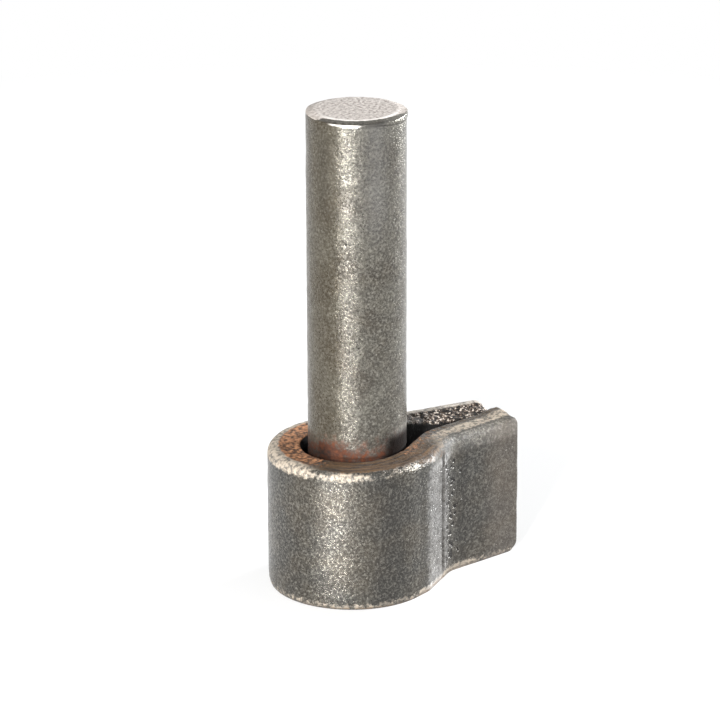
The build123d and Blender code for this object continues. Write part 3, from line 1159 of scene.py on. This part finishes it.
def weld_metal(finish):
    """Weld steel with burnt brown patches: smoother and darker than the bars round it."""
    material, tree, output = new_material("weld_steel")
    body, rough, height, noise = scale_skin(tree, finish, finish.scale_mid, WELD_PATTERNS)
    body = overlay(tree, body, list(finish.rust_deep), noise["burnt"], 0.4, 0.65)
    raw_steel(tree, output, body, rough, 0.8, height, WELD_RELIEF)
    return material


def backdrop_rays(tree):
    """1 for the rays that see the background as such: from the camera, metal and glass."""
    seen = 0.0
    for rays in ("Is Camera Ray", "Is Glossy Ray", "Is Transmission Ray"):
        path = add_node(tree, "LightPath", output=rays)
        seen = add_node(tree, "Math", {0: seen, 1: path}, operation="MAXIMUM")
    return seen


def white_floor():
    """Matt white paper, lit from below as it were, so that only a soft shadow shows on it."""
    material, tree, output = new_material("white_paper")
    seen = backdrop_rays(tree)
    place = add_node(tree, "TexCoord", output="Object")
    away = add_node(tree, "VectorMath", {0: place}, "Value", operation="LENGTH")
    amount = add_node(
        tree, "MapRange",
        {"Value": away, "From Min": 0.08, "From Max": 0.3, "To Min": 0.5, "To Max": 1.0},
    )
    glow = add_node(tree, "Math", {0: seen, 1: amount}, operation="MULTIPLY")
    paper = add_node(tree, "BsdfDiffuse", {"Color": linear("#f4f4f4")})
    white = add_node(tree, "Emission", {"Color": (1, 1, 1, 1), "Strength": 1.0})
    mixed = add_node(tree, "MixShader", {0: glow, 1: paper, 2: white})
    tree.links.new(mixed, output.inputs["Surface"])
    return material


def studio_world():
    """White to the camera and in reflections, and a softer level of light all round."""
    world = bpy.data.worlds.new("studio")
    world.use_nodes = True
    tree = world.node_tree
    tree.nodes.clear()
    seen = backdrop_rays(tree)
    level = add_node(tree, "MapRange", {"Value": seen, "To Min": 0.55, "To Max": 1.0})
    white = add_node(tree, "Background", {"Color": (1, 1, 1, 1), "Strength": level})
    output = add_node(tree, "OutputWorld")
    tree.links.new(white, output.inputs["Surface"])
    return world


def softbox(name, bearing, away, width, height, foot, power, tint):
    """An upright soft lamp; its bearing turns right from the camera's."""
    azimuth = bpy.context.scene.stage_settings.azimuth + math.radians(bearing)
    place = outward(azimuth) * away + UP * (foot + height / 2)
    bpy.ops.object.light_add(type="AREA", location=place)
    lamp = bpy.context.object
    lamp.name = name
    lamp.rotation_euler = (math.pi / 2, 0, azimuth)
    lamp.data.shape = "RECTANGLE"
    lamp.data.size = width
    lamp.data.size_y = height
    lamp.data.energy = power
    lamp.data.color = tint
    lamp.visible_camera = False
    return lamp


def floor_card(name, bearing, away, width, depth, power):
    """A faint glow that lies on the floor and faces up, for the loop's wall to mirror."""
    lamp = softbox(name, bearing, away, width, depth, CARD_LEVEL - depth / 2, power, (1, 1, 1))
    lamp.rotation_euler.x = math.pi


class HINGE_OT_stage(bpy.types.Operator):
    """Lay a white floor, light it softly and set up the camera"""

    bl_idname = "gate_hinge.stage"
    bl_label = "Stage"

    def execute(self, context):
        settings = context.scene.stage_settings
        deselect_all()
        bpy.ops.mesh.primitive_plane_add(size=4, location=(0, 0, 0))
        floor = context.object
        floor.name = "floor"
        floor.data.materials.append(white_floor())
        for name, lamp in LAMPS.items():
            softbox(name, *lamp)
        floor_card("card", *FLOOR_CARD)
        level = outward(settings.azimuth)
        back = level * math.cos(settings.elevation) + UP * math.sin(settings.elevation)
        right = UP.cross(back).normalized()
        target = right * settings.aim_right + UP * settings.aim_height
        bpy.ops.object.camera_add(location=target + back * settings.distance)
        camera = context.object
        camera.name = "camera"
        turned = back.to_track_quat("Z", "Y").to_matrix() @ Matrix.Rotation(settings.tilt, 3, "Z")
        camera.rotation_euler = turned.to_euler()
        camera.data.lens = settings.lens
        camera.data.sensor_width = 36
        camera.data.clip_start = 0.01
        context.scene.camera = camera
        context.scene.world = studio_world()
        context.scene.view_settings.view_transform = "Standard"
        return {"FINISHED"}


class HINGE_PT_pieces(bpy.types.Panel):
    """The hinge pin's pieces, one button each"""

    bl_idname = "HINGE_PT_pieces"
    bl_label = "Gate hinge pin"
    bl_space_type = "VIEW_3D"
    bl_region_type = "UI"
    bl_category = "Hinge Pin"

    def draw(self, context):
        for operator in OPERATORS:
            self.layout.operator(operator.bl_idname)
        for group in GROUPS.values():
            self.layout.label(text=group.__doc__)


GROUPS = {
    "bar_sizes": BarSizes,
    "strap_sizes": StrapSizes,
    "weld_sizes": WeldSizes,
    "finish": FinishColours,
    "stage_settings": StageSettings,
}
OPERATORS = (HINGE_OT_wrapped_strap, HINGE_OT_round_bar, HINGE_OT_weld_bead, HINGE_OT_stage)


def register():
    for kind in (*GROUPS.values(), *OPERATORS, HINGE_PT_pieces):
        bpy.utils.register_class(kind)
    for name, group in GROUPS.items():
        setattr(bpy.types.Scene, name, PointerProperty(type=group))


def unregister():
    for name in GROUPS:
        delattr(bpy.types.Scene, name)
    for kind in (HINGE_PT_pieces, *reversed(OPERATORS), *reversed(GROUPS.values())):
        bpy.utils.unregister_class(kind)


def main():
    register()
    bpy.ops.gate_hinge.wrapped_strap()
    bpy.ops.gate_hinge.round_bar()
    bpy.ops.gate_hinge.weld_bead()
    bpy.ops.gate_hinge.stage()


if __name__ == "__main__":
    main()
